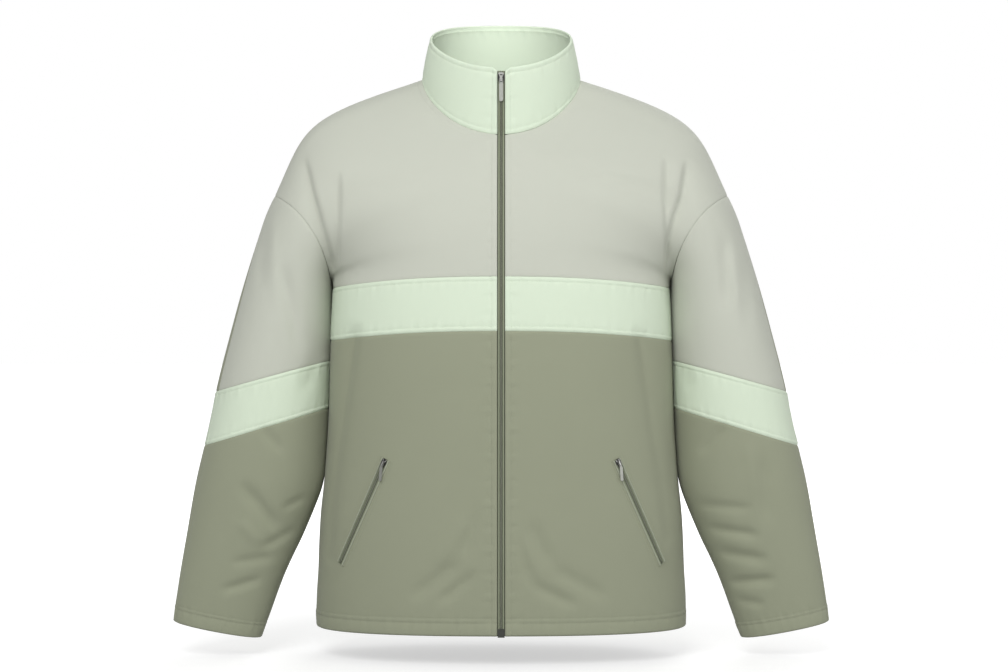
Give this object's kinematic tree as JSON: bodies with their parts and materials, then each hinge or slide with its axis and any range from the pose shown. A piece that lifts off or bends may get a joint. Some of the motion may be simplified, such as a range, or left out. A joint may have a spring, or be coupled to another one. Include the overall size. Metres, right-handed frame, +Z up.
{
  "type": "zip-up sweatshirt",
  "caption": "Colour-blocked knit sweatshirt with a stand collar, a full front zip, slanted zip pockets and turned hems, filled out as worn and hollow.",
  "frame": {"origin": "midway between the two points where the shoulders meet the collar seam", "axes": "+X to the wearer's left, -Y to the front, +Z up"},
  "size_m": [0.8257, 0.2745, 0.7818],
  "materials": {
    "pale_knit": "soft brushed knit, pale grey green",
    "mint_knit": "soft brushed knit, pale mint",
    "sage_knit": "soft brushed knit, grey sage",
    "zip_tape": "woven tape, grey sage",
    "zip_coil": "moulded coil, dark sage",
    "zip_metal": "satin grey metal"
  },
  "bodies": {
    "garment": {"front_upper_left": "pale_knit", "front_band_left": "mint_knit", "front_lower_left": "sage_knit", "sleeve_upper_front_left": "pale_knit", "sleeve_band_front_left": "mint_knit", "sleeve_lower_front_left": "sage_knit", "sleeve_upper_back_left": "sage_knit", "sleeve_band_back_left": "mint_knit", "sleeve_lower_back_left": "sage_knit", "front_upper_right": "pale_knit", "front_band_right": "mint_knit", "front_lower_right": "sage_knit", "sleeve_upper_front_right": "pale_knit", "sleeve_band_front_right": "mint_knit", "sleeve_lower_front_right": "sage_knit", "sleeve_upper_back_right": "sage_knit", "sleeve_band_back_right": "mint_knit", "sleeve_lower_back_right": "sage_knit", "back_upper": "sage_knit", "back_band": "mint_knit", "back_lower": "sage_knit", "collar": "mint_knit", "zip_tape_left": "zip_tape", "zip_tape_right": "zip_tape", "zip_coil": "zip_coil", "zip_box": "zip_metal", "zip_slider": "zip_metal", "pocket_zip_left": "zip_tape", "pocket_slider_left": "zip_metal", "pocket_zip_right": "zip_tape", "pocket_slider_right": "zip_metal"},
    "front_pull": {"zip_pull": "zip_metal"},
    "left_pocket_pull": {"pocket_pull_left": "zip_metal"},
    "right_pocket_pull": {"pocket_pull_right": "zip_metal"}
  },
  "joints": [
    {"name": "front_pull_swing", "type": "hinge", "parent": "garment", "child": "front_pull", "pos_m": [0, -0.09743, -0.0034], "axis": [-1, 0, 0], "range_deg": [0, 160]},
    {"name": "left_pocket_pull_swing", "type": "hinge", "parent": "garment", "child": "left_pocket_pull", "pos_m": [0.14387, -0.1265, -0.4749], "axis": [-0.8191, -0.3716, -0.4369], "range_deg": [0, 150]},
    {"name": "right_pocket_pull_swing", "type": "hinge", "parent": "garment", "child": "right_pocket_pull", "pos_m": [-0.14387, -0.12651, -0.4749], "axis": [-0.8187, 0.3723, 0.4372], "range_deg": [0, 150]}
  ]
}
